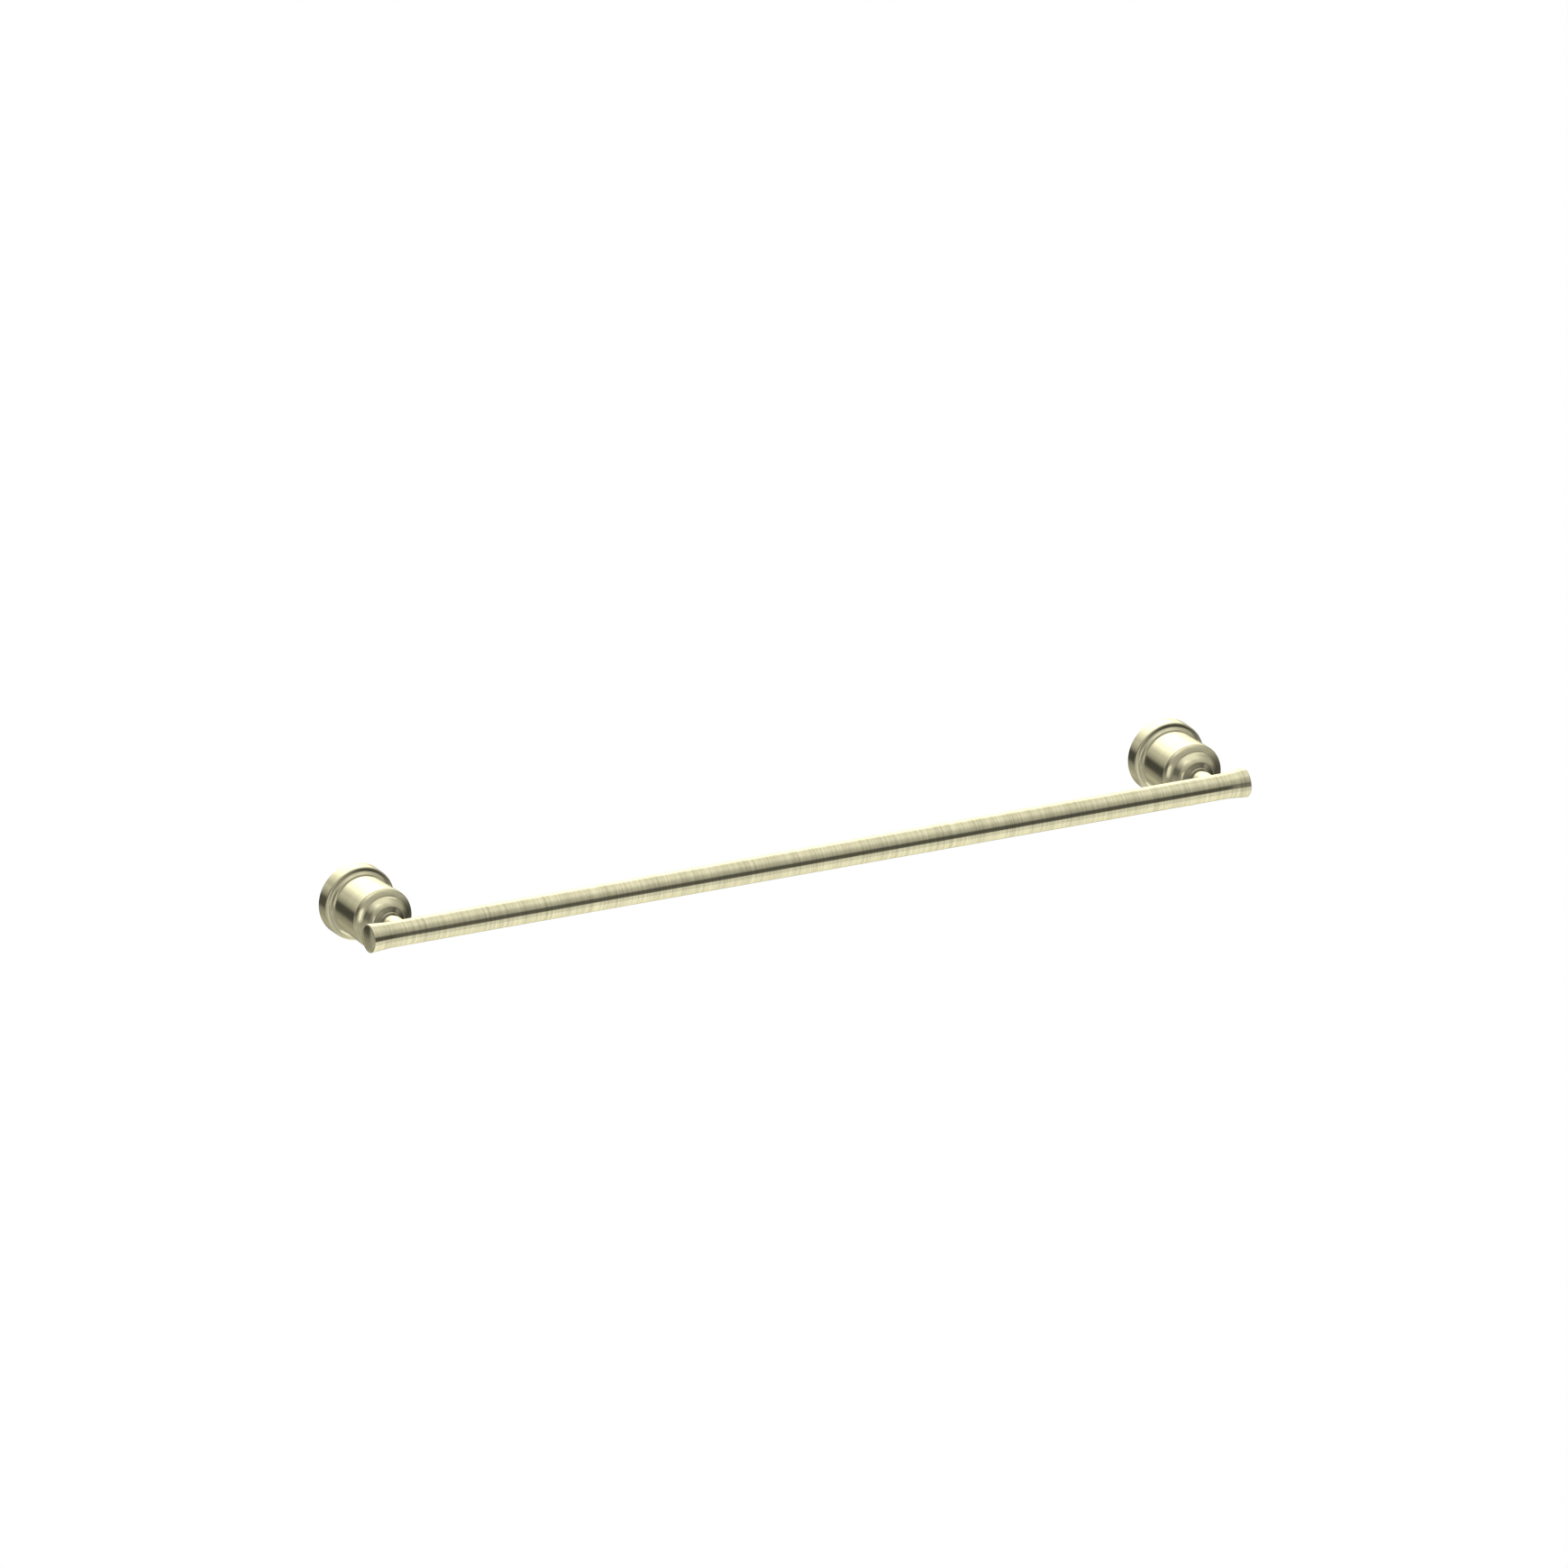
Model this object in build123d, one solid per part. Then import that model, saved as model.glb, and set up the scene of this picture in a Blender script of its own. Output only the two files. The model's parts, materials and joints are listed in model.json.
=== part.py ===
from build123d import *
import math
import os

# Towel rail: a flared tube carried in front of two hollow cast posts, each held on a round wall bracket.
# Millimetres. The origin is on the wall, midway between the posts, at the height of their axes.
# +X runs along the bar, +Y points into the wall and +Z is up. A depth is a distance out from the wall.

# Rail
POST_SPACING = 609.6
BAR_OVERHANG = 25.4

# Bar tube, swaged to a shallow cone at each end
BAR_R = 8.75
BAR_WALL = 1.2
FLARE_LENGTH = 17.0
FLARE_ANGLE = 4.6
FLARE_BLEND_R = 60.0
RIM_WALL = 0.9
RIM_ROUND = 0.3

# End caps
CAP_THICKNESS = 3.0
CAP_RECESS = 0.2
CAP_CROWN = 0.9
CAP_CLEARANCE = 0.05

# Post, from the wall outwards: flange, ledge, coved bead, groove, bell and lip
FLANGE_R = 26.0
FLANGE_DEPTH = 10.8
FLANGE_EDGE = 1.1
LEDGE_WIDTH = 1.1
LEDGE_RISE = 0.15
BEAD_COVE_WIDTH = 1.15
BEAD_COVE_RISE = 0.57
BEAD_CHAMFER = 1.15
BEAD_FACE_WIDTH = 1.2
BEAD_FACE_RISE = 0.53
GROOVE_WIDTH = 1.8
BELL_EDGE = 0.6
BELL_LENGTH = 27.2
BELL_FLARE = 0.95
SHOULDER_ROUND = 3.2
SHOULDER_TURN = 55.0
LIP_WIDTH = 3.4
LIP_RISE = 1.8

# Post, from the neck inwards: neck, waist, two-tier button and dome
NECK_R = 7.6
NECK_LENGTH = 3.75
WAIST_LENGTH = 4.23
WAIST_DEPTH = 1.0
WAIST_LEDGE = 1.0
TIER_WIDTH = 1.7
TIER_STEP = 0.35
BUTTON_WIDTH = 3.3
BUTTON_ANGLE = 20.0
BUTTON_LEDGE = 0.6
DOME_HEIGHT = 6.38
DOME_START_ANGLE = 14.0

# Post cavity
POST_WALL = 2.3
CORE_DRAFT = 0.4
SHOULDER_WALL = 1.3
WEB_BACKSET = 4.1
WEB_R = 9.5
SADDLE_CLEARANCE = 0.05

# Wall bracket
FLANGE_WALL = 5.7
BRACKET_CLEARANCE = 0.3
BRACKET_THICKNESS = 10.0
BRACKET_FLOOR = 4.0
BRACKET_RIM = 3.5
RIM_GROOVE_DEPTH = 1.5
WALL_SCREW_SPACING = 22.0
WALL_SCREW_HOLE_R = 2.6

# Set screw, M5 with a cone point
SET_SCREW_R = 2.5
SET_SCREW_LENGTH = 6.0
SET_SOCKET_FLATS = 2.5
SET_SOCKET_DEPTH = 2.6
SET_POINT_CLEARANCE = 0.1

# Bar screw, M5 socket head, with its split washer and the tapped slug that it pulls on
BAR_SCREW_R = 2.5
BAR_SCREW_LENGTH = 25.0
BAR_SCREW_CLEARANCE = 0.25
SCREW_HEAD_R = 4.25
SCREW_HEAD_HEIGHT = 5.0
SCREW_CHAMFER = 0.5
HEAD_SOCKET_FLATS = 4.0
HEAD_SOCKET_DEPTH = 2.5
THREAD_CLEARANCE = 0.05
WASHER_R = 4.6
WASHER_THICKNESS = 1.2
WASHER_BORE_CLEARANCE = 0.1
WASHER_SPLIT = 0.9
WASHER_SPLIT_ANGLE = 20.0
NUT_LENGTH = 22.0
NUT_CLEARANCE = 0.1

# Radii of the post's steps
shoulder_turn = math.radians(SHOULDER_TURN)
ledge_r = FLANGE_R - FLANGE_EDGE - LEDGE_WIDTH
bead_r = ledge_r - BEAD_COVE_WIDTH
bead_face_r = bead_r - BEAD_CHAMFER
groove_r = bead_face_r - BEAD_FACE_WIDTH
bell_back_r = groove_r + BELL_EDGE
bell_front_r = bell_back_r + BELL_FLARE
lip_r = bell_front_r - SHOULDER_ROUND * (1 - math.cos(shoulder_turn))
dome_base_r = lip_r - LIP_WIDTH
waist_r = NECK_R - WAIST_LEDGE
tier_r = waist_r + TIER_WIDTH
button_r = tier_r + BUTTON_WIDTH
dome_top_r = button_r + BUTTON_LEDGE
recess_r = FLANGE_R - FLANGE_WALL
bracket_r = recess_r - BRACKET_CLEARANCE
cavity_r = groove_r - POST_WALL
screw_hole_r = BAR_SCREW_R + BAR_SCREW_CLEARANCE

# Depths of the post's steps
ledge_front = FLANGE_DEPTH + LEDGE_RISE
bead_back = ledge_front + BEAD_COVE_RISE
bead_face = bead_back + BEAD_CHAMFER
bead_front = bead_face + BEAD_FACE_RISE
bell_back = bead_front + GROOVE_WIDTH
shoulder_back = bell_back + BELL_EDGE + BELL_LENGTH
lip_back = shoulder_back + SHOULDER_ROUND * math.sin(shoulder_turn)
dome_back = lip_back + LIP_RISE
dome_front = dome_back + DOME_HEIGHT
button_slope = math.tan(math.radians(BUTTON_ANGLE))
button_front = dome_front + BUTTON_WIDTH * button_slope
tier_front = button_front + TIER_STEP + TIER_WIDTH * button_slope
neck_back = tier_front + WAIST_LENGTH
bar_depth = neck_back + NECK_LENGTH + BAR_R
recess_depth = BRACKET_THICKNESS + BRACKET_CLEARANCE
cavity_front = shoulder_back - SHOULDER_WALL
web_back = dome_front - WEB_BACKSET
set_screw_depth = BRACKET_THICKNESS / 2

# Where the posts stand, and the bar's ends
POST_X = {"left": -POST_SPACING / 2, "right": POST_SPACING / 2}
half_length = POST_SPACING / 2 + BAR_OVERHANG
flare_start = half_length - FLARE_LENGTH
flare_slope = math.tan(math.radians(FLARE_ANGLE))
flare_sine = math.sin(math.radians(FLARE_ANGLE))
flare_drop = 1 - math.cos(math.radians(FLARE_ANGLE))
mouth_r = BAR_R + FLARE_BLEND_R * flare_drop + (FLARE_LENGTH - FLARE_BLEND_R * flare_sine) * flare_slope
seat_r = mouth_r - RIM_WALL
seat_x = half_length - CAP_RECESS - CAP_THICKNESS

OUTWARDS = (0, -1)


def at(radius, depth):
    """Point of a half section that is turned about the post axis."""
    return (radius, -depth)


def leaning(degrees):
    """Direction that runs outwards along the post and leans in towards its axis."""
    return (-math.sin(math.radians(degrees)), -math.cos(math.radians(degrees)))


def turned(section):
    """Solid of revolution about the post axis."""
    return revolve(section.sketch, Axis.Y)


def turned_along_bar(section):
    """Solid of revolution about the bar axis, moved out to the bar's depth."""
    return Pos(0, -bar_depth, 0) * revolve(section.sketch, Axis.X)


def hex_socket(flats, depth, start):
    """Hexagonal key socket that starts at a depth and runs outwards along the post axis."""
    outline = Plane.XZ * RegularPolygon(flats / 2, 6, major_radius=False)
    return Pos(0, -start, 0) * extrude(outline, depth)


def post():
    """One hollow casting: flange, bead, bell, dome, button and neck, with a saddle for the bar."""
    with BuildSketch() as section:
        with BuildLine():
            flange = Polyline(at(recess_r, 0), at(FLANGE_R, 0), at(FLANGE_R, FLANGE_DEPTH - FLANGE_EDGE))
            edge = TangentArc(flange @ 1, at(FLANGE_R - FLANGE_EDGE, FLANGE_DEPTH), tangent=OUTWARDS)
            ledge = Line(edge @ 1, at(ledge_r, ledge_front))
            cove = TangentArc(ledge @ 1, at(bead_r, bead_back), tangent=ledge % 1)
            bead = Polyline(
                cove @ 1,
                at(bead_face_r, bead_face),
                at(groove_r, bead_front),
                at(groove_r, bell_back),
            )
            bell_edge = TangentArc(bead @ 1, at(bell_back_r, bell_back + BELL_EDGE), tangent=(1, 0))
            bell = Line(bell_edge @ 1, at(bell_front_r, shoulder_back))
            shoulder = TangentArc(bell @ 1, at(lip_r, lip_back), tangent=OUTWARDS)
            lip = TangentArc(shoulder @ 1, at(dome_base_r, dome_back), tangent=leaning(SHOULDER_TURN))
            dome = TangentArc(lip @ 1, at(dome_top_r, dome_front), tangent=leaning(DOME_START_ANGLE))
            button = Polyline(
                dome @ 1,
                at(button_r, dome_front),
                at(tier_r, button_front),
                at(tier_r, button_front + TIER_STEP),
                at(waist_r, tier_front),
            )
            waist = ThreePointArc(
                button @ 1,
                at(NECK_R - WAIST_DEPTH, tier_front + WAIST_LENGTH / 2),
                at(NECK_R, neck_back),
            )
            Polyline(
                waist @ 1,
                at(NECK_R, bar_depth),
                at(screw_hole_r, bar_depth),
                at(screw_hole_r, web_back),
                at(WEB_R, web_back),
                at(cavity_r - CORE_DRAFT, cavity_front),
                at(cavity_r, recess_depth),
                at(recess_r, recess_depth),
                at(recess_r, 0),
            )
        make_face()
    saddle = Cylinder(BAR_R + SADDLE_CLEARANCE, 2 * FLANGE_R, rotation=(0, 90, 0))
    tapped_hole = Cylinder(SET_SCREW_R + THREAD_CLEARANCE, FLANGE_R)
    return (
        turned(section)
        - Pos(0, -bar_depth, 0) * saddle
        - Pos(0, -set_screw_depth, -FLANGE_R) * tapped_hole
    )


def wall_bracket():
    """Round cup that is screwed to the wall, with a rim groove for the set screw's point."""
    groove_back = set_screw_depth - RIM_GROOVE_DEPTH
    groove_front = set_screw_depth + RIM_GROOVE_DEPTH
    with BuildSketch() as section:
        with BuildLine():
            Polyline(
                at(0, 0),
                at(bracket_r, 0),
                at(bracket_r, groove_back),
                at(bracket_r - RIM_GROOVE_DEPTH, set_screw_depth),
                at(bracket_r, groove_front),
                at(bracket_r, BRACKET_THICKNESS),
                at(bracket_r - BRACKET_RIM, BRACKET_THICKNESS),
                at(bracket_r - BRACKET_RIM, BRACKET_FLOOR),
                at(0, BRACKET_FLOOR),
                close=True,
            )
        make_face()
    holes = [
        Pos(0, 0, z) * Cylinder(WALL_SCREW_HOLE_R, 3 * BRACKET_THICKNESS, rotation=(90, 0, 0))
        for z in (-WALL_SCREW_SPACING / 2, WALL_SCREW_SPACING / 2)
    ]
    return turned(section) - holes


def set_screw():
    """Cone-point grub screw, up through the underside of the flange into the bracket's groove."""
    with BuildSketch() as section:
        with BuildLine():
            Polyline(
                at(0, 0),
                at(SET_SCREW_R, 0),
                at(SET_SCREW_R, SET_SCREW_LENGTH - SET_SCREW_R),
                at(0, SET_SCREW_LENGTH),
                close=True,
            )
        make_face()
    screw = turned(section) - hex_socket(SET_SOCKET_FLATS, SET_SOCKET_DEPTH, 0)
    point_z = -(bracket_r - RIM_GROOVE_DEPTH + SET_POINT_CLEARANCE)
    return Pos(0, -set_screw_depth, point_z - SET_SCREW_LENGTH) * Rot(-90, 0, 0) * screw


def lock_washer():
    """Split washer between the screw's head and the post's web."""
    ring = Circle(WASHER_R) - Circle(BAR_SCREW_R + WASHER_BORE_CLEARANCE)
    washer = Pos(0, -web_back + WASHER_THICKNESS, 0) * extrude(Plane.XZ * ring, WASHER_THICKNESS)
    split = Box(WASHER_SPLIT, 2 * WASHER_R, WASHER_R)
    lean = Rot(0, 0, WASHER_SPLIT_ANGLE)
    return washer - Pos(0, -web_back + WASHER_THICKNESS / 2, WASHER_R / 2) * lean * split


def bar_screw():
    """Socket-head screw from inside the post, through the neck, into the tapped slug."""
    seat = web_back - WASHER_THICKNESS
    back = seat - SCREW_HEAD_HEIGHT
    tip = seat + BAR_SCREW_LENGTH
    with BuildSketch() as section:
        with BuildLine():
            Polyline(
                at(0, back),
                at(SCREW_HEAD_R - SCREW_CHAMFER, back),
                at(SCREW_HEAD_R, back + SCREW_CHAMFER),
                at(SCREW_HEAD_R, seat),
                at(BAR_SCREW_R, seat),
                at(BAR_SCREW_R, tip - SCREW_CHAMFER),
                at(BAR_SCREW_R - SCREW_CHAMFER, tip),
                at(0, tip),
                close=True,
            )
        make_face()
    return turned(section) - hex_socket(HEAD_SOCKET_FLATS, HEAD_SOCKET_DEPTH, back)


def bar_nut():
    """Tapped slug inside the tube."""
    slug = Cylinder(BAR_R - BAR_WALL - NUT_CLEARANCE, NUT_LENGTH, rotation=(0, 90, 0))
    thread = Cylinder(BAR_SCREW_R + THREAD_CLEARANCE, 3 * BAR_R, rotation=(90, 0, 0))
    return Pos(0, -bar_depth, 0) * (slug - thread)


def bar_tube():
    """The whole tube, with a screw hole in its back wall behind each neck."""
    inner_blend_r = FLARE_BLEND_R + BAR_WALL
    with BuildSketch() as section:
        with BuildLine():
            outside = Line((0, BAR_R), (flare_start, BAR_R))
            blend = JernArc(outside @ 1, (1, 0), FLARE_BLEND_R, FLARE_ANGLE)
            rim = Polyline(blend @ 1, (half_length, mouth_r), (half_length, seat_r), (seat_x, seat_r))
            inside = Line((0, BAR_R - BAR_WALL), (flare_start, BAR_R - BAR_WALL))
            inner_blend = JernArc(inside @ 1, (1, 0), inner_blend_r, FLARE_ANGLE)
            run = seat_x - (inner_blend @ 1).X
            seat_foot = inner_blend @ 1 + Vector(run, run * flare_slope)
            Polyline(inner_blend @ 1, seat_foot, rim @ 1)
            Line(outside @ 0, inside @ 0)
        make_face()
        fillet(section.vertices().group_by(Axis.X)[-1], RIM_ROUND)
    half = turned_along_bar(section)
    hole = Cylinder(screw_hole_r, BAR_R, rotation=(90, 0, 0))
    holes = [Pos(x, -bar_depth + BAR_R, 0) * hole for x in POST_X.values()]
    return half + mirror(half, Plane.YZ) - holes


def end_cap():
    """Crowned disc in the right-hand mouth of the tube."""
    edge_x = half_length - CAP_RECESS
    cap_r = seat_r - CAP_CLEARANCE
    with BuildSketch() as section:
        with BuildLine():
            crown = TangentArc((edge_x + CAP_CROWN, 0), (edge_x, cap_r), tangent=(0, 1))
            Polyline(crown @ 1, (seat_x, cap_r), (seat_x, 0), crown @ 0)
        make_face()
    return turned_along_bar(section)


at_each_post = {
    "post": post(),
    "wall_bracket": wall_bracket(),
    "set_screw": set_screw(),
    "lock_washer": lock_washer(),
    "bar_screw": bar_screw(),
    "bar_nut": bar_nut(),
}
right_cap = end_cap()
pieces = {
    "bar_tube": bar_tube(),
    "end_cap_left": mirror(right_cap, Plane.YZ),
    "end_cap_right": right_cap,
}
for name, piece in at_each_post.items():
    for side, x in POST_X.items():
        pieces[f"{name}_{side}"] = Pos(x, 0, 0) * piece

os.makedirs("parts", exist_ok=True)
for node, piece in pieces.items():
    export_step(piece, f"parts/{node}.step")
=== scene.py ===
import json
import math

import bmesh
import bpy
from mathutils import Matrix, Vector


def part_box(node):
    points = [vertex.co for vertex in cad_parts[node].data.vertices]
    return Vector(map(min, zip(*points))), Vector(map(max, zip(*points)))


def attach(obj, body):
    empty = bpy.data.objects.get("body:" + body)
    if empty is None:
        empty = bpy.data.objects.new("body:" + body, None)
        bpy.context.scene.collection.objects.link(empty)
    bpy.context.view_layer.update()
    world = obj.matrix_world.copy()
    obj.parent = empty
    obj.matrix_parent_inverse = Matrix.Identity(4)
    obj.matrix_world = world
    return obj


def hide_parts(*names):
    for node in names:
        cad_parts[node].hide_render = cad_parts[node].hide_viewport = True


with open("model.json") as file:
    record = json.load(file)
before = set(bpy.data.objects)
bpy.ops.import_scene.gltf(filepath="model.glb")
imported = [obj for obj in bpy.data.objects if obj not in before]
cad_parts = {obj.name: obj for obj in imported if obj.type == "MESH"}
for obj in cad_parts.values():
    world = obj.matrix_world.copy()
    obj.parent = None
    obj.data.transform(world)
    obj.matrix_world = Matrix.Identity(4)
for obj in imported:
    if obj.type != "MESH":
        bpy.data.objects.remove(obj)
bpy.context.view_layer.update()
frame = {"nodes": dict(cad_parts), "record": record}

# Sizes in millimetres, as in the part, but the widest edges stand in a hair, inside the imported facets
MM = 0.001
EDGE_INSET = 0.012

# The bar
BAR_R = 8.75
BAR_WALL = 1.2
FLARE_LENGTH = 17.0
FLARE_ANGLE = math.radians(4.6)
FLARE_BLEND_R = 60.0
RIM_WALL = 0.9
RIM_ROUND = 0.3
CAP_THICKNESS = 3.0
CAP_RECESS = 0.2
CAP_CROWN = 0.9
CAP_CLEARANCE = 0.05

# The post, from the wall outwards, as radii and depths
RECESS_R = 20.3
RECESS_DEPTH = 10.3
FLANGE_R = 26.0 - EDGE_INSET
FLANGE_DEPTH = 10.8
FLANGE_EDGE = 1.1
LEDGE_R = 23.8
LEDGE_FRONT = 10.95
BEAD_R = 22.65
BEAD_BACK = 11.52
BEAD_FACE_R = 21.5
BEAD_FACE = 12.67
BEAD_FRONT = 13.2
GROOVE_R = 20.3
BELL_BACK = 15.0
BELL_EDGE = 0.6
BELL_FRONT_R = 21.85
SHOULDER_BACK = 42.8
SHOULDER_ROUND = 3.2
SHOULDER_TURN = math.radians(55.0)
LIP_WIDTH = 3.4
LIP_RISE = 1.8
DOME_HEIGHT = 6.38
DOME_TOP_R = 12.2
DOME_START_ANGLE = math.radians(14.0)
BUTTON_R = 11.6
BUTTON_SLOPE = math.tan(math.radians(20.0))
TIER_R = 8.3
TIER_STEP = 0.35
WAIST_R = 6.6
WAIST_LENGTH = 4.23
NECK_R = 7.6
CAVITY_R = 18.0
CAVITY_FRONT = 41.5
CAVITY_FRONT_R = 17.6
WEB_BACK = 49.5
WEB_R = 9.5
SCREW_HOLE_R = 2.75
SADDLE_CLEARANCE = 0.05
SADDLE_RUN = 1.0
SET_SCREW_HOLE_R = 2.55
SET_SCREW_DEPTH = 5.0

# How far the drills start outside a wall and end inside it
POST_DRILL_MARGIN = 2.0
BAR_DRILL_OUT = 1.0
BAR_DRILL_IN = 2.5

# Mesh fineness: turns round an axis, steps along an arc, the softened corners and the loops beside them
TURNS = 192
DRILL_TURNS = 64
FLOOR_TURNS = 96
ARC_STEPS = 10
FINE_ARC_STEPS = 2 * ARC_STEPS
CORNER_ROUND = 0.16
CORNER_SHARE = 0.4
CORNER_STEPS = 4
SHARPEST_SMOOTH = math.radians(18)
SUPPORT_GAP = 0.12
SHORTEST_SUPPORTED = 4 * SUPPORT_GAP
HARD_EDGE = math.radians(40)
WELD_DISTANCE = 1e-7
CARD_COLUMNS = 32
CARD_ROWS = 48

# The photograph's camera, in its own 1740 pixel frame
FRAME_PIXELS = 1740
FRAME_CENTRE = (870, 870)
PIXELS_PER_METRE = 1653.2
ORIGIN_PIXEL = (840.8, 917.5)
VIEW_AZIMUTH = math.radians(-27.0)
VIEW_ELEVATION = math.radians(20.48)
CAMERA_DISTANCE = 3.0

# Nickel finish: dark and light tones, brush lines in cycles per metre, and the ranges the noise is read in
NICKEL_BAR = ((0.55, 0.518, 0.345), (0.88, 0.83, 0.556))
NICKEL_POST = ((0.72, 0.68, 0.453), (0.82, 0.774, 0.517))
EDGE_TINT = (0.90, 0.87, 0.68)
FINE_LINES = {"along": 1500, "around": 30, "detail": 2}
BAND_LINES = {"along": 650, "around": 18, "detail": 3}
CLUSTERS = {"along": 70, "around": 12, "detail": 2}
BAND_SHARE = 0.5
CLUSTER_SHARE = 0.25
STREAK_NOISE_ROUGHNESS = 0.6
LINE_TONES = (0.38, 0.60)
NOISE_SPAN = (0.3, 0.7)
NICKEL_ROUGHNESS = (0.19, 0.13)
NICKEL_ANISOTROPY = 0.5
QUARTER_TURN = 0.25
NICKEL_BUMP = (0.12, 0.00002)

# Painted shade in creases and where pieces meet, multiplied into the base colour: reach in metres, and what
# an open share gives in brightness
PAINTED_SHADE_REACH = 0.04
PAINTED_SHADE_SAMPLES = 12
PAINTED_SHADE_OPEN = (0.45, 0.76)
PAINTED_SHADE_BRIGHTNESS = (0.2, 1.0)

# Hidden metals by slot: light tone, dark tone, roughness and grain
HIDDEN_METALS = {
    "cast_zinc": ((0.60, 0.60, 0.59), (0.46, 0.46, 0.45), (0.45, 0.6), 900),
    "plated_steel": ((0.70, 0.71, 0.72), (0.58, 0.59, 0.60), (0.22, 0.34), 1500),
    "brass_slug": ((0.80, 0.62, 0.30), (0.68, 0.50, 0.22), (0.25, 0.38), 1200),
}
MOTTLE_DETAIL = 5.0
MOTTLE_NOISE_ROUGHNESS = 0.5
MOTTLE_BUMP = (0.2, 0.00005)

# Floor and world
WHITE = (1, 1, 1, 1)
FLOOR_HEIGHT = -2.6
FLOOR_RADIUS = 2.6
FLOOR_COLOUR = (0.95, 0.95, 0.95, 1)
FLOOR_ROUGHNESS = 0.9
FLOOR_LIFT = 0.16
FILL_STRENGTH = 0.9

# Reflection cards: name, radius in metres, azimuth, half width and side fade in degrees, then the ramp as
# (elevation in degrees, brightness). Azimuth zero is in front of the rail and 90 is to its right.
CARDS = [
    ("surround", 8.3, -21, 151, 8, [
        (-46, 0.55), (-26, 0.50), (0, 0.42), (20, 0.46), (35, 0.55), (45, 0.66), (55, 0.82), (66, 1.0),
    ]),
    ("left_flag", 8.0, -92, 46, 16, [
        (-22, 0.42), (-6, 0.30), (6, 0.16), (24, 0.14), (34, 0.32), (45, 0.52), (56, 0.72), (64, 0.95),
    ]),
    ("front_flag", 7.8, 18, 20, 6, [
        (-40, 0.84), (-26, 0.82), (-20, 0.80), (-15, 0.36), (-12, 0.32), (8, 0.30),
        (15, 0.22), (21, 0.42), (37, 0.54), (52, 0.62), (62, 0.76), (68, 0.95),
    ]),
    ("stripe_flag", 7.6, 31, 14, 5, [(-18, 0.80), (-14, 0.08), (11, 0.07), (17, 0.27), (21, 0.42)]),
    ("low_panel", 7.75, 24, 32, 8, [(-54, 0.82), (-30, 0.80), (-17, 0.78)]),
    ("crown_light", 7.7, -44, 32, 26, [(46, 0.60), (54, 1.0), (62, 1.4), (70, 1.45), (78, 1.0)]),
    ("front_panel", 7.7, -18, 26, 8, [
        (-40, 0.50), (-28, 0.46), (-19, 0.40), (-10, 0.42), (4, 0.42),
        (18, 0.44), (36, 0.48), (50, 0.72), (66, 1.0),
    ]),
    ("lip_light", 7.65, -30, 10, 5, [(-16, 0.50), (-9, 1.2), (8, 1.3), (15, 0.46)]),
    ("right_flag", 7.9, 92, 47, 6, [
        (-46, 0.80), (-34, 0.45), (-28, 0.12), (-14, 0.08), (-6, 0.14),
        (0, 0.22), (4, 0.31), (10, 0.42), (16, 0.48),
    ]),
    ("right_low", 7.8, 141, 11, 4, [(-27, 0.45), (-23, 0.10), (-15, 0.08), (-10, 0.50)]),
    ("back_flag", 7.8, -154, 19, 6, [
        (-46, 0.42), (-30, 0.40), (-22, 0.30), (-16, 0.08), (-11, 0.06),
        (-2, 0.06), (3, 0.32), (10, 0.52), (18, 0.74),
    ]),
    ("back_light", 8.0, 165, 45, 35, [
        (-46, 0.42), (-28, 0.40), (-20, 0.42), (-12, 0.55), (-4, 1.1),
        (6, 2.0), (24, 2.4), (36, 1.9), (45, 1.25), (55, 0.95),
    ]),
    ("left_low", 2.4, -80, 95, 12, [(-72, 0.55), (-40, 0.46), (-30, 0.45)]),
]

# Short names for Blender's node types, the Mix node's sockets, and where a colour ramp's new stop starts
MATHS = "ShaderNodeMath"
VECTOR_MATHS = "ShaderNodeVectorMath"
MIX_SHARE = 0
MIX_VALUES = (2, 3)
MIX_COLOURS = (6, 7)
MIXED_VALUE = 0
MIXED_COLOUR = 2
NEW_STOP = 0.5

bar_low, bar_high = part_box("bar_tube")
half_length = bar_high.x / MM
bar_depth = -(bar_low.y + bar_high.y) / 2 / MM
mouth_r = BAR_R - EDGE_INSET + FLARE_BLEND_R * (1 - math.cos(FLARE_ANGLE)) + (
    FLARE_LENGTH - FLARE_BLEND_R * math.sin(FLARE_ANGLE)
) * math.tan(FLARE_ANGLE)


def post_x(side):
    """The post axis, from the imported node's box, in metres."""
    low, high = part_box(f"post_{side}")
    return (low.x + high.x) / 2


# Outlines: lists of (radius, distance along the axis)

def tangent_arc(start, end, tangent, steps=ARC_STEPS):
    """Points after start, up to end, on the arc that leaves start along tangent."""
    p, q, t = Vector(start), Vector(end), Vector(tangent).normalized()
    normal = Vector((-t.y, t.x))
    chord = q - p
    radius = chord.length_squared / (2 * chord.dot(normal))
    centre = p + normal * radius
    spoke = p - centre
    turn = math.copysign(2 * math.asin(min(1, chord.length / 2 / abs(radius))), radius)
    if chord.dot(t) < 0:
        turn = math.copysign(2 * math.pi, turn) - turn
    points = []
    for i in range(1, steps + 1):
        a = turn * i / steps
        x = centre.x + spoke.x * math.cos(a) - spoke.y * math.sin(a)
        y = centre.y + spoke.x * math.sin(a) + spoke.y * math.cos(a)
        points.append((x, y))
    return points


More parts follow.
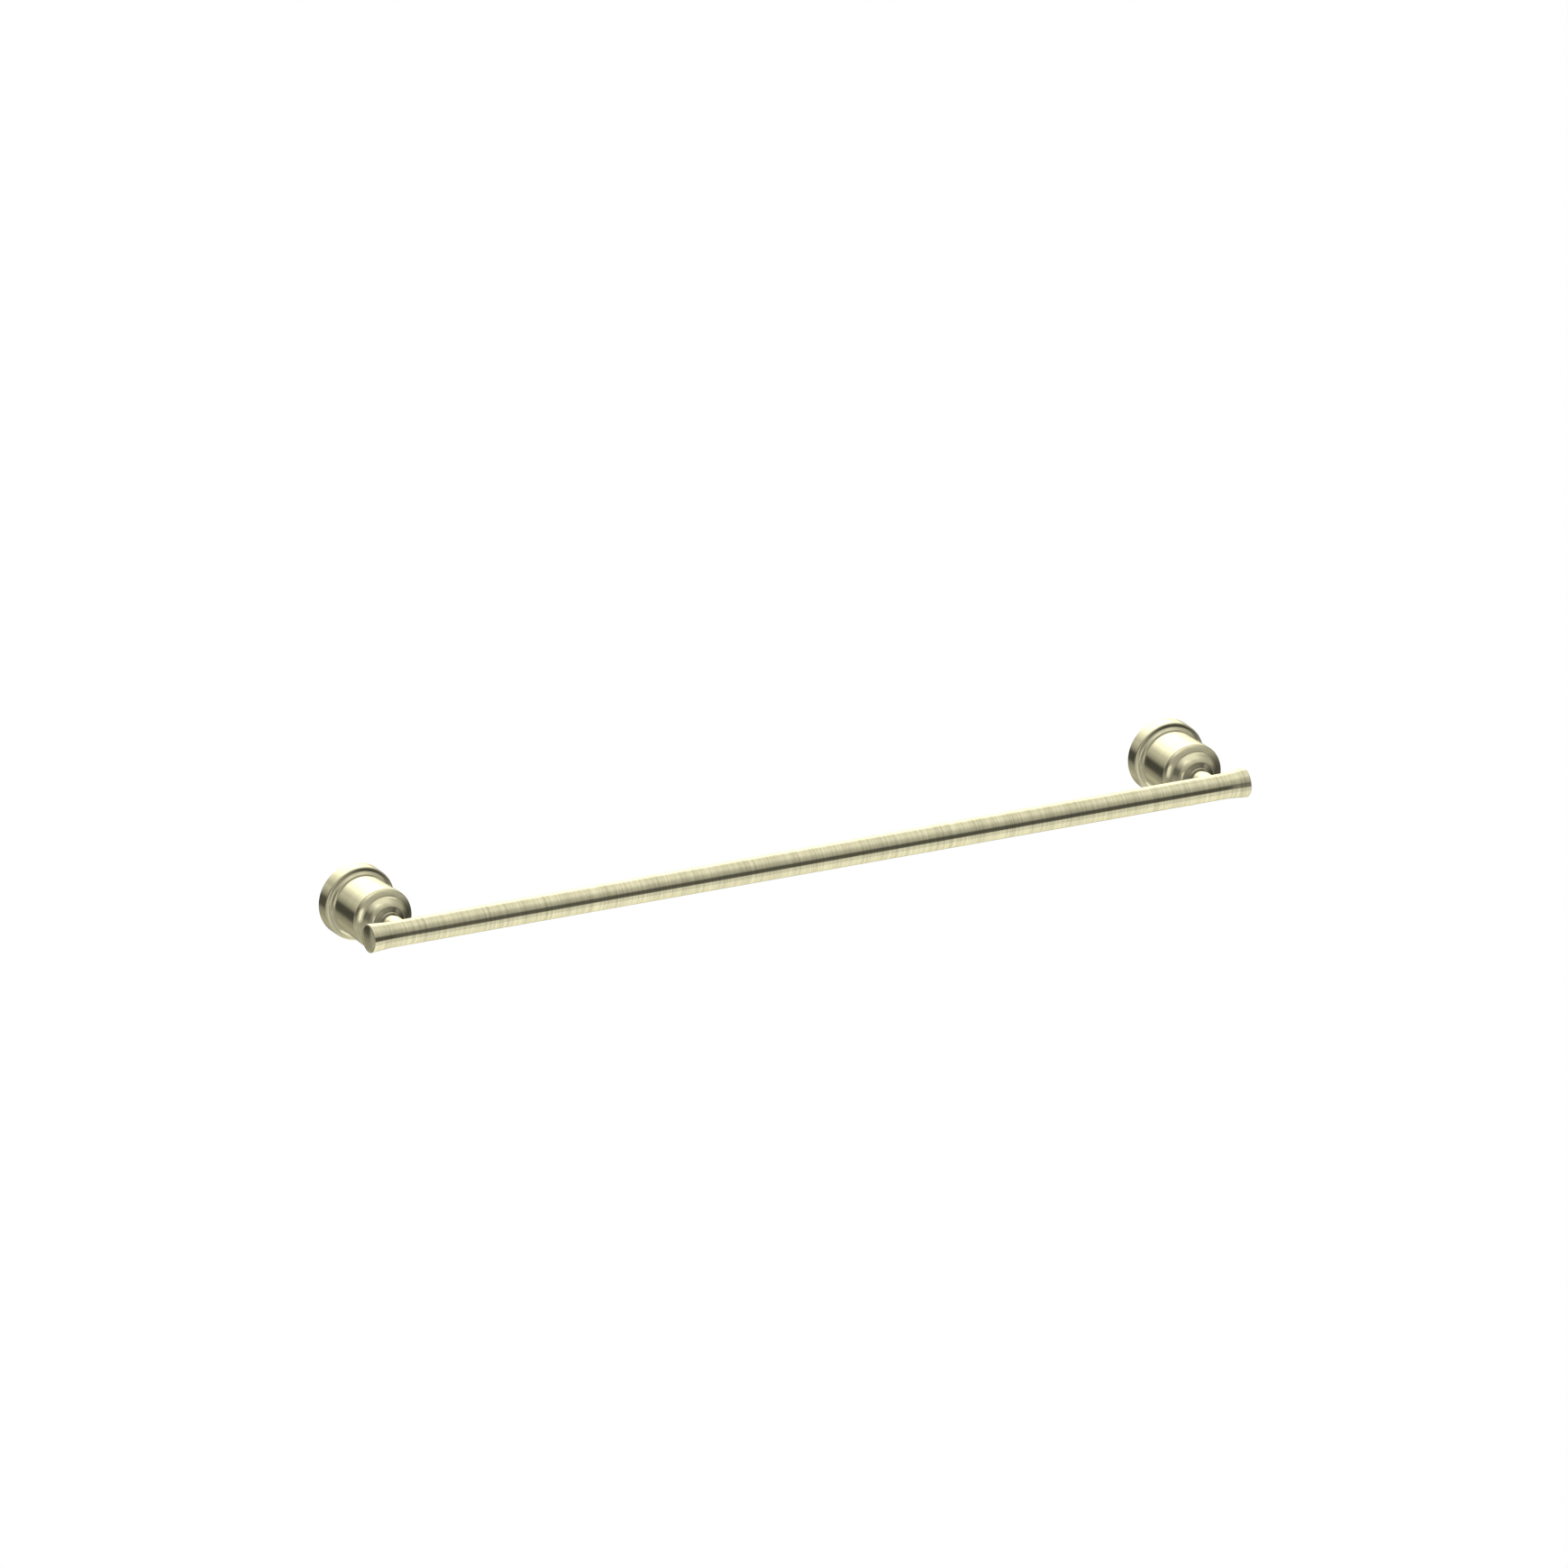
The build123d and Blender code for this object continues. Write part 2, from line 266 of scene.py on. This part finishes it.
def hollow_arc(start, middle, end):
    """Points after start, up to end, on the arc through a middle point."""
    a, b, c = Vector(start), Vector(middle), Vector(end)
    aa, bb, cc = a.length_squared, b.length_squared, c.length_squared
    d = 2 * (a.x * (b.y - c.y) + b.x * (c.y - a.y) + c.x * (a.y - b.y))
    x = aa * (b.y - c.y) + bb * (c.y - a.y) + cc * (a.y - b.y)
    y = aa * (c.x - b.x) + bb * (a.x - c.x) + cc * (b.x - a.x)
    spoke = a - Vector((x / d, y / d))
    side = (b - a).x * (c - a).y - (b - a).y * (c - a).x
    return tangent_arc(start, end, Vector((-spoke.y, spoke.x)) * side, FINE_ARC_STEPS)


def leaning(angle):
    """Direction that runs out from the wall and leans in towards the axis."""
    return (-math.sin(angle), math.cos(angle))


def rounded(points):
    """The outline with each sharp corner rounded a little."""
    out = [points[0]]
    for before, here, after in zip(points, points[1:], points[2:]):
        a, b, c = Vector(before), Vector(here), Vector(after)
        if (b - a).angle(c - b) < SHARPEST_SMOOTH:
            out.append(here)
            continue
        reach = min(CORNER_ROUND, CORNER_SHARE * (b - a).length, CORNER_SHARE * (c - b).length)
        start = b - (b - a).normalized() * reach
        end = b + (c - b).normalized() * reach
        out.append(tuple(start))
        out += tangent_arc(start, end, b - a, CORNER_STEPS)
    return out + [points[-1]]


def softened(points):
    """The outline with rounded corners, and a support loop beside each end of a long run."""
    out = rounded(points)
    supported = [out[0]]
    for before, here in zip(out, out[1:]):
        a, b = Vector(before), Vector(here)
        if (b - a).length > SHORTEST_SUPPORTED:
            step = (b - a).normalized() * SUPPORT_GAP
            supported += [tuple(a + step), tuple(b - step)]
        supported.append(here)
    return supported


# Meshes

def add_object(name, data):
    """A new object in the scene."""
    thing = bpy.data.objects.new(name, data)
    bpy.context.scene.collection.objects.link(thing)
    return thing


def mesh_from(name, bm):
    """A mesh with what was built, which is then let go."""
    mesh = bpy.data.meshes.new(name)
    bm.to_mesh(mesh)
    bm.free()
    return mesh


def new_piece(name, bm, node):
    """An object that stands for a CAD node on the fixed body."""
    bmesh.ops.remove_doubles(bm, verts=bm.verts, dist=WELD_DISTANCE)
    bmesh.ops.recalc_face_normals(bm, faces=bm.faces)
    piece = add_object(name, mesh_from(name, bm))
    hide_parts(node)
    piece.visible_glossy = False
    return piece


def smooth(piece):
    """Smooth shading, with hard edges only where the form has them."""
    for polygon in piece.data.polygons:
        polygon.use_smooth = True
    piece.data.set_sharp_from_angle(angle=HARD_EDGE)


def finished(piece, material, point):
    """Shades and paints a piece, puts its origin at a point and lets it ride on the fixed body."""
    smooth(piece)
    piece.data.materials.append(material)
    piece.location = point
    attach(piece, "root")


def turned_mesh(outline, to_point, closed):
    """Rings of vertices round an axis, joined by quads.

    The second value of an outline's point may be a function of the angle.
    """
    bm = bmesh.new()
    rings = []
    for radius, along in outline:
        ring = []
        for i in range(TURNS):
            angle = 2 * math.pi * i / TURNS
            reach = along(angle) if callable(along) else along
            ring.append(bm.verts.new(to_point(radius * MM, reach * MM, angle)))
        rings.append(ring)
    pairs = list(zip(rings, rings[1:]))
    if closed:
        pairs.append((rings[-1], rings[0]))
    for first, second in pairs:
        for i in range(TURNS):
            j = (i + 1) % TURNS
            bm.faces.new((first[i], first[j], second[j], second[i]))
    return bm


def about_post(radius, depth, angle):
    """Post coordinates: depth runs out from the wall, along -Y. Angle zero is straight up."""
    return (radius * math.sin(angle), -depth, radius * math.cos(angle))


def about_bar(radius, along, angle):
    """Bar coordinates: along runs along +X."""
    return (along, radius * math.sin(angle), radius * math.cos(angle))


def drilled(piece, radius, start, end):
    """Cuts a round hole from start to end, in the piece's own coordinates."""
    bm = bmesh.new()
    axis = Vector(end) - Vector(start)
    matrix = axis.to_track_quat("Z", "Y").to_matrix().to_4x4()
    matrix.translation = (Vector(start) + Vector(end)) / 2
    bmesh.ops.create_cone(
        bm, cap_ends=True, segments=DRILL_TURNS, radius1=radius * MM, radius2=radius * MM,
        depth=axis.length, matrix=matrix,
    )
    mesh = mesh_from("drill", bm)
    drill = add_object("drill", mesh)
    cut = piece.modifiers.new("hole", "BOOLEAN")
    cut.operation = "DIFFERENCE"
    cut.solver = "EXACT"
    cut.object = drill
    solid = piece.data
    depsgraph = bpy.context.evaluated_depsgraph_get()
    piece.data = bpy.data.meshes.new_from_object(piece.evaluated_get(depsgraph))
    piece.modifiers.clear()
    piece.data.name = piece.name
    bpy.data.meshes.remove(solid)
    bpy.data.objects.remove(drill)
    bpy.data.meshes.remove(mesh)


def saddle(radius):
    """A radius of the neck's end, with the depth at which each angle meets the bar."""
    def depth(angle):
        height = radius * math.cos(angle)
        return bar_depth - math.sqrt((BAR_R + SADDLE_CLEARANCE) ** 2 - height**2)
    return radius, depth


def post_outline():
    """The casting's outside up to the neck, the saddle round the bar, and the cavity behind."""
    outwards = (0, 1)
    lip_r = BELL_FRONT_R - SHOULDER_ROUND * (1 - math.cos(SHOULDER_TURN))
    lip_back = SHOULDER_BACK + SHOULDER_ROUND * math.sin(SHOULDER_TURN)
    dome_back = lip_back + LIP_RISE
    dome_front = dome_back + DOME_HEIGHT
    button_front = dome_front + (BUTTON_R - TIER_R) * BUTTON_SLOPE
    tier_back = button_front + TIER_STEP
    tier_front = tier_back + (TIER_R - WAIST_R) * BUTTON_SLOPE
    neck_back = tier_front + WAIST_LENGTH
    outside = [(RECESS_R, 0), (FLANGE_R, 0), (FLANGE_R, FLANGE_DEPTH - FLANGE_EDGE)]
    outside += tangent_arc(outside[-1], (FLANGE_R - FLANGE_EDGE, FLANGE_DEPTH), outwards)
    outside += [(LEDGE_R, LEDGE_FRONT)]
    ledge = Vector(outside[-1]) - Vector(outside[-2])
    outside += tangent_arc(outside[-1], (BEAD_R, BEAD_BACK), ledge)
    outside += [(BEAD_FACE_R, BEAD_FACE), (GROOVE_R, BEAD_FRONT), (GROOVE_R, BELL_BACK)]
    outside += tangent_arc(outside[-1], (GROOVE_R + BELL_EDGE, BELL_BACK + BELL_EDGE), (1, 0))
    outside += [(BELL_FRONT_R, SHOULDER_BACK)]
    outside += tangent_arc(outside[-1], (lip_r, lip_back), outwards)
    outside += tangent_arc(outside[-1], (lip_r - LIP_WIDTH, dome_back), leaning(SHOULDER_TURN))
    outside += tangent_arc(outside[-1], (DOME_TOP_R, dome_front), leaning(DOME_START_ANGLE), FINE_ARC_STEPS)
    outside += [(BUTTON_R, dome_front), (TIER_R, button_front), (TIER_R, tier_back), (WAIST_R, tier_front)]
    outside += hollow_arc(outside[-1], (WAIST_R, (tier_front + neck_back) / 2), (NECK_R, neck_back))
    outside += [(NECK_R, neck_back + SADDLE_RUN)]
    cavity = [
        (SCREW_HOLE_R, WEB_BACK + SADDLE_RUN),
        (SCREW_HOLE_R, WEB_BACK),
        (WEB_R, WEB_BACK),
        (CAVITY_FRONT_R, CAVITY_FRONT),
        (CAVITY_R, RECESS_DEPTH),
        (RECESS_R, RECESS_DEPTH),
        (RECESS_R, 0),
    ]
    spread = NECK_R - SCREW_HOLE_R
    seat = [saddle(NECK_R - spread * i / ARC_STEPS) for i in range(ARC_STEPS + 1)]
    return softened(outside) + seat + softened(cavity)[:-1]


def make_post(side, material):
    """One turned casting, with the set screw's hole from below."""
    bm = turned_mesh(post_outline(), about_post, closed=True)
    piece = new_piece(f"cast_post_{side}", bm, f"post_{side}")
    middle = (0, -SET_SCREW_DEPTH * MM)
    start = (*middle, -(FLANGE_R + POST_DRILL_MARGIN) * MM)
    end = (*middle, -(RECESS_R - POST_DRILL_MARGIN) * MM)
    drilled(piece, SET_SCREW_HOLE_R, start, end)
    finished(piece, material, (post_x(side), 0, 0))


def bar_outline():
    """Closed section of the tube: outside, rim and cap seat at each end, and the bore."""
    start = half_length - FLARE_LENGTH
    slope = math.tan(FLARE_ANGLE)
    blend = (FLARE_BLEND_R * math.sin(FLARE_ANGLE), FLARE_BLEND_R * (1 - math.cos(FLARE_ANGLE)))
    inner_r = FLARE_BLEND_R + BAR_WALL
    inner = (inner_r * math.sin(FLARE_ANGLE), inner_r * (1 - math.cos(FLARE_ANGLE)))
    bore = BAR_R - BAR_WALL
    seat_r = mouth_r - RIM_WALL
    seat = half_length - CAP_RECESS - CAP_THICKNESS
    along = (0, 1)
    outside = [(BAR_R, 0), (BAR_R, start)]
    outside += tangent_arc(outside[-1], (BAR_R + blend[1], start + blend[0]), along)
    outside += [(mouth_r - RIM_ROUND * slope, half_length - RIM_ROUND)]
    outside += tangent_arc(outside[-1], (mouth_r - RIM_ROUND, half_length), (slope, 1))
    outside += [(seat_r + RIM_ROUND, half_length)]
    outside += tangent_arc(outside[-1], (seat_r, half_length - RIM_ROUND), (-1, 0))
    outside += [(seat_r, seat), (bore + inner[1] + (seat - start - inner[0]) * slope, seat)]
    inside = [(bore, start)]
    inside += tangent_arc(inside[-1], (bore + inner[1], start + inner[0]), along)
    half = softened(outside + inside[::-1] + [(bore, 0)])
    return half + [(r, -x) for r, x in half[-2:0:-1]]


def make_bar(material):
    """The tube, with a screw hole in its back behind each post."""
    bm = turned_mesh(bar_outline(), about_bar, closed=True)
    piece = new_piece("flared_bar", bm, "bar_tube")
    for side in ("left", "right"):
        x = post_x(side)
        start = (x, (BAR_R + BAR_DRILL_OUT) * MM, 0)
        end = (x, (BAR_R - BAR_DRILL_IN) * MM, 0)
        drilled(piece, SCREW_HOLE_R, start, end)
    finished(piece, material, (0, -bar_depth * MM, 0))


def make_cap(side, sign, material):
    """A disc with a slightly crowned face, in the bar's mouth."""
    edge = half_length - CAP_RECESS
    back = edge - CAP_THICKNESS
    cap_r = mouth_r - RIM_WALL - CAP_CLEARANCE
    crown = tangent_arc((0, edge + CAP_CROWN), (cap_r, edge), (1, 0), FINE_ARC_STEPS)
    outline = softened([(0, back), (cap_r, back)] + crown[::-1] + [(0, edge + CAP_CROWN)])
    bm = turned_mesh([(r, sign * x) for r, x in outline], about_bar, closed=False)
    piece = new_piece(f"crowned_cap_{side}", bm, f"end_cap_{side}")
    finished(piece, material, (0, -bar_depth * MM, 0))


# Materials

def new_material(name):
    """A material with its nodes, its links and its shader."""
    material = bpy.data.materials.new(name)
    material.use_nodes = True
    nodes = material.node_tree.nodes
    return material, nodes, material.node_tree.links, nodes["Principled BSDF"]


def sums(nodes, links, kind, operation, *values):
    """The outputs of a maths node whose inputs are sockets or plain values."""
    node = nodes.new(kind)
    node.operation = operation
    for socket, value in zip(node.inputs, values):
        if isinstance(value, bpy.types.NodeSocket):
            links.new(value, socket)
        else:
            socket.default_value = value
    return node.outputs


def ranged(nodes, links, value, source, target):
    """A value taken from one range to another and held there."""
    remap = nodes.new("ShaderNodeMapRange")
    for socket, number in zip(remap.inputs[1:5], (*source, *target)):
        socket.default_value = number
    links.new(value, remap.inputs[0])
    return remap.outputs[0]


def blended(nodes, links, first, second, share):
    """Two values mixed, with the second's share."""
    mix = nodes.new("ShaderNodeMix")
    mix.inputs[MIX_SHARE].default_value = share
    for index, value in zip(MIX_VALUES, (first, second)):
        links.new(value, mix.inputs[index])
    return mix.outputs[MIXED_VALUE]


def two_tone(nodes, links, share, dark, light):
    """A colour between dark and light."""
    mix = nodes.new("ShaderNodeMix")
    mix.data_type = "RGBA"
    for index, colour in zip(MIX_COLOURS, (dark, light)):
        mix.inputs[index].default_value = (*colour, 1)
    links.new(share, mix.inputs[MIX_SHARE])
    return mix.outputs[MIXED_COLOUR]


def multiplied(nodes, links, colour, factor):
    """A colour times a factor."""
    mix = nodes.new("ShaderNodeMix")
    mix.data_type = "RGBA"
    mix.blend_type = "MULTIPLY"
    mix.inputs[MIX_SHARE].default_value = 1.0
    for index, value in zip(MIX_COLOURS, (colour, factor)):
        links.new(value, mix.inputs[index])
    return mix.outputs[MIXED_COLOUR]


def noise(nodes, links, vector, scale, detail, roughness):
    """A noise between zero and one."""
    texture = nodes.new("ShaderNodeTexNoise")
    texture.inputs["Scale"].default_value = scale
    texture.inputs["Detail"].default_value = detail
    texture.inputs["Roughness"].default_value = roughness
    links.new(vector, texture.inputs["Vector"])
    return texture.outputs["Fac"]


def bumped(nodes, links, shader, height, strength, distance):
    """Fine relief on a shader."""
    bump = nodes.new("ShaderNodeBump")
    bump.inputs["Strength"].default_value = strength
    bump.inputs["Distance"].default_value = distance
    links.new(height, bump.inputs["Height"])
    links.new(bump.outputs["Normal"], shader.inputs["Normal"])


def object_point(nodes, links):
    """The point in the object's own coordinates, whole and split."""
    point = nodes.new("ShaderNodeTexCoord").outputs["Object"]
    split = nodes.new("ShaderNodeSeparateXYZ")
    links.new(point, split.inputs[0])
    return point, split.outputs


def brush_vector(nodes, links, axis):
    """Coordinates that change fast along a turned piece and slowly round it."""
    point, split = object_point(nodes, links)
    mask = (0, 1, 1) if axis == "X" else (1, 0, 1)
    across = sums(nodes, links, VECTOR_MATHS, "MULTIPLY", point, mask)[0]
    radius = sums(nodes, links, VECTOR_MATHS, "LENGTH", across)["Value"]
    along = sums(nodes, links, MATHS, "ADD", split[axis], radius)[0]
    vector = nodes.new("ShaderNodeCombineXYZ")
    for socket, value in zip(vector.inputs, (along, split["Y" if axis == "X" else "X"], split["Z"])):
        links.new(value, socket)
    location = nodes.new("ShaderNodeObjectInfo").outputs["Location"]
    return sums(nodes, links, VECTOR_MATHS, "ADD", vector.outputs[0], location)[0]


def streaks(nodes, links, vector, along, around, detail):
    """Noise drawn out round the piece: cycles per metre along it and round it."""
    scaled = sums(nodes, links, VECTOR_MATHS, "MULTIPLY", vector, (along, around, around))[0]
    return noise(nodes, links, scaled, 1.0, detail, STREAK_NOISE_ROUGHNESS)


def brushed_nickel(name, axis, dark, light):
    """Warm nickel plate with fine brush lines round an axis, in clusters, and painted shade that darkens
    the base colour in creases.
    """
    material, nodes, links, shader = new_material(name)
    vector = brush_vector(nodes, links, axis)
    fine = streaks(nodes, links, vector, **FINE_LINES)
    bands = streaks(nodes, links, vector, **BAND_LINES)
    clusters = streaks(nodes, links, vector, **CLUSTERS)
    lines = blended(nodes, links, blended(nodes, links, fine, bands, BAND_SHARE), clusters, CLUSTER_SHARE)
    colour = two_tone(nodes, links, ranged(nodes, links, lines, LINE_TONES, (0, 1)), dark, light)
    # Painted shade: ambient occlusion darkens the base colour in creases and where pieces meet
    crevice = nodes.new("ShaderNodeAmbientOcclusion")
    crevice.samples = PAINTED_SHADE_SAMPLES
    crevice.inputs["Distance"].default_value = PAINTED_SHADE_REACH
    shade = ranged(nodes, links, crevice.outputs["AO"], PAINTED_SHADE_OPEN, PAINTED_SHADE_BRIGHTNESS)
    links.new(multiplied(nodes, links, colour, shade), shader.inputs["Base Color"])
    roughness = ranged(nodes, links, lines, NOISE_SPAN, NICKEL_ROUGHNESS)
    links.new(roughness, shader.inputs["Roughness"])
    bumped(nodes, links, shader, fine, *NICKEL_BUMP)
    tangent = nodes.new("ShaderNodeTangent")
    tangent.direction_type = "RADIAL"
    tangent.axis = axis
    links.new(tangent.outputs[0], shader.inputs["Tangent"])
    shader.inputs["Metallic"].default_value = 1.0
    shader.inputs["Specular Tint"].default_value = (*EDGE_TINT, 1)
    shader.inputs["Anisotropic"].default_value = NICKEL_ANISOTROPY
    shader.inputs["Anisotropic Rotation"].default_value = QUARTER_TURN
    return material


def mottled_metal(name, light, dark, roughness, grain):
    """Plain metal with a little unevenness, for the hidden castings and fasteners."""
    material, nodes, links, shader = new_material(name)
    point = nodes.new("ShaderNodeTexCoord").outputs["Object"]
    mottle = noise(nodes, links, point, grain, MOTTLE_DETAIL, MOTTLE_NOISE_ROUGHNESS)
    share = ranged(nodes, links, mottle, NOISE_SPAN, (0, 1))
    links.new(two_tone(nodes, links, share, dark, light), shader.inputs["Base Color"])
    links.new(ranged(nodes, links, mottle, NOISE_SPAN, roughness), shader.inputs["Roughness"])
    bumped(nodes, links, shader, mottle, *MOTTLE_BUMP)
    shader.inputs["Metallic"].default_value = 1.0
    return material


def paint_nodes(slot, material):
    """Gives a material to each CAD node of a slot that still shows."""
    for row in frame["record"]["subparts"]:
        if row["material_slot"] != slot:
            continue
        node = frame["nodes"][row["node"]]
        node.visible_glossy = False
        node.data.materials.clear()
        node.data.materials.append(material)


# Studio

def direction(azimuth, elevation):
    """Unit vector at an azimuth to the right of the front and an elevation, in radians."""
    out = math.cos(elevation)
    return Vector((out * math.sin(azimuth), -out * math.cos(azimuth), math.sin(elevation)))


def light_path_share(nodes, links):
    """One for camera, glossy and transmission rays, nothing for the rest."""
    path = nodes.new("ShaderNodeLightPath")
    share = path.outputs["Is Camera Ray"]
    for ray in ("Is Glossy Ray", "Is Transmission Ray"):
        share = sums(nodes, links, MATHS, "MAXIMUM", share, path.outputs[ray])[0]
    return share


def mixed_shader(nodes, links, share, first, second, output):
    """Mixes two shaders by a share and sends them to an output."""
    mix = nodes.new("ShaderNodeMixShader")
    for socket, value in zip(mix.inputs, (share, first.outputs[0], second.outputs[0])):
        links.new(value, socket)
    links.new(mix.outputs[0], output.inputs["Surface"])


def make_world():
    """A white surround for the camera and reflections, and a slightly weaker fill light."""
    world = bpy.data.worlds.new("studio")
    bpy.context.scene.world = world
    world.use_nodes = True
    nodes, links = world.node_tree.nodes, world.node_tree.links
    fill = nodes["Background"]
    white = nodes.new("ShaderNodeBackground")
    for background, strength in ((fill, FILL_STRENGTH), (white, 1.0)):
        background.inputs["Color"].default_value = WHITE
        background.inputs["Strength"].default_value = strength
    mixed_shader(nodes, links, light_path_share(nodes, links), fill, white, nodes["World Output"])


def make_floor():
    """Pale round floor, well below the rail, that the camera sees as white."""
    bm = bmesh.new()
    bmesh.ops.create_circle(bm, cap_ends=True, segments=FLOOR_TURNS, radius=FLOOR_RADIUS)
    floor = add_object("floor", mesh_from("floor", bm))
    floor.location = (0, 0, FLOOR_HEIGHT)
    material, nodes, links, shader = new_material("pale_floor")
    shader.inputs["Base Color"].default_value = FLOOR_COLOUR
    shader.inputs["Roughness"].default_value = FLOOR_ROUGHNESS
    shader.inputs["Emission Color"].default_value = WHITE
    lift = ranged(nodes, links, light_path_share(nodes, links), (0, 1), (0, FLOOR_LIFT))
    links.new(lift, shader.inputs["Emission Strength"])
    floor.data.materials.append(material)


def card_mesh(name, radius, half_width, low, high):
    """Part of a sphere round the rail, between two elevations in degrees, centred on the front."""
    vertices, faces = [], []
    for j in range(CARD_ROWS + 1):
        e = math.radians(low + (high - low) * j / CARD_ROWS)
        for i in range(CARD_COLUMNS + 1):
            a = math.radians(half_width * (2 * i / CARD_COLUMNS - 1))
            vertices.append(direction(a, e) * radius)
    for j in range(CARD_ROWS):
        for i in range(CARD_COLUMNS):
            k = j * (CARD_COLUMNS + 1) + i
            faces.append((k, k + 1, k + CARD_COLUMNS + 2, k + CARD_COLUMNS + 1))
    mesh = bpy.data.meshes.new(name)
    mesh.from_pydata(vertices, [], faces)
    return mesh


def card_material(name, radius, half_width, fade, ramp):
    """A glow that follows the ramp upwards and turns clear towards the sides."""
    material, nodes, links, shader = new_material(name)
    nodes.remove(shader)
    split = object_point(nodes, links)[1]
    colours = nodes.new("ShaderNodeValToRGB")
    stops = colours.color_ramp.elements
    while len(stops) < len(ramp):
        stops.new(NEW_STOP)
    for stop, (elevation, brightness) in zip(stops, ramp):
        stop.position = (1 + math.sin(math.radians(elevation))) / 2
        stop.color = (brightness, brightness, brightness, 1)
    links.new(ranged(nodes, links, split["Z"], (-radius, radius), (0, 1)), colours.inputs[0])
    glow = nodes.new("ShaderNodeEmission")
    links.new(colours.outputs[0], glow.inputs["Color"])
    forward = sums(nodes, links, MATHS, "MULTIPLY", split["Y"], -1.0)[0]
    turn = sums(nodes, links, MATHS, "ARCTAN2", split["X"], forward)[0]
    aside = sums(nodes, links, MATHS, "ABSOLUTE", turn)[0]
    sides = (math.radians(half_width - fade), math.radians(half_width))
    share = ranged(nodes, links, aside, sides, (1, 0))
    clear = nodes.new("ShaderNodeBsdfTransparent")
    mixed_shader(nodes, links, share, clear, glow, nodes["Material Output"])
    return material


def make_card(name, radius, azimuth, half_width, fade, ramp):
    """A graduated card that only reflections see."""
    card = add_object(name, card_mesh(name, radius, half_width, ramp[0][0], ramp[-1][0]))
    card.rotation_euler.z = math.radians(azimuth)
    card.visible_camera = False
    card.visible_diffuse = False
    card.visible_shadow = False
    card.data.materials.append(card_material(name, radius, half_width, fade, ramp))


def make_softbox(name, azimuth, elevation, distance, width, height, radiance):
    """A soft lamp that faces the rail. Angles in degrees."""
    lamp = bpy.data.lights.new(name, "AREA")
    lamp.shape = "RECTANGLE"
    lamp.size = width
    lamp.size_y = height
    lamp.energy = radiance * math.pi * width * height
    box = add_object(name, lamp)
    away = direction(math.radians(azimuth), math.radians(elevation))
    box.location = away * distance
    box.rotation_euler = (-away).to_track_quat("-Z", "Y").to_euler()
    box.visible_camera = False
    box.visible_glossy = False


def make_camera():
    """A parallel camera that puts the frame's origin on its pixel of the photograph."""
    back = direction(VIEW_AZIMUTH, VIEW_ELEVATION)
    right = Vector((math.cos(VIEW_AZIMUTH), math.sin(VIEW_AZIMUTH), 0))
    up = back.cross(right)
    aim = right * ((FRAME_CENTRE[0] - ORIGIN_PIXEL[0]) / PIXELS_PER_METRE)
    aim += up * ((ORIGIN_PIXEL[1] - FRAME_CENTRE[1]) / PIXELS_PER_METRE)
    data = bpy.data.cameras.new("camera")
    data.type = "ORTHO"
    data.ortho_scale = FRAME_PIXELS / PIXELS_PER_METRE
    camera = add_object("camera", data)
    camera.location = aim + back * CAMERA_DISTANCE
    camera.rotation_euler = (-back).to_track_quat("-Z", "Y").to_euler()
    bpy.context.scene.camera = camera


bpy.context.scene.view_settings.view_transform = "Standard"
make_world()
make_floor()
for card in CARDS:
    make_card(*card)
make_softbox("top_softbox", azimuth=20, elevation=78, distance=2.6, width=1.6, height=1.6, radiance=1.0)
make_camera()

bar_finish = brushed_nickel("brushed_nickel_bar", "X", *NICKEL_BAR)
post_finish = brushed_nickel("brushed_nickel_post", "Y", *NICKEL_POST)
make_bar(bar_finish)
for side, sign in (("left", -1), ("right", 1)):
    make_cap(side, sign, bar_finish)
    make_post(side, post_finish)
for slot, finish in HIDDEN_METALS.items():
    paint_nodes(slot, mottled_metal(slot, *finish))
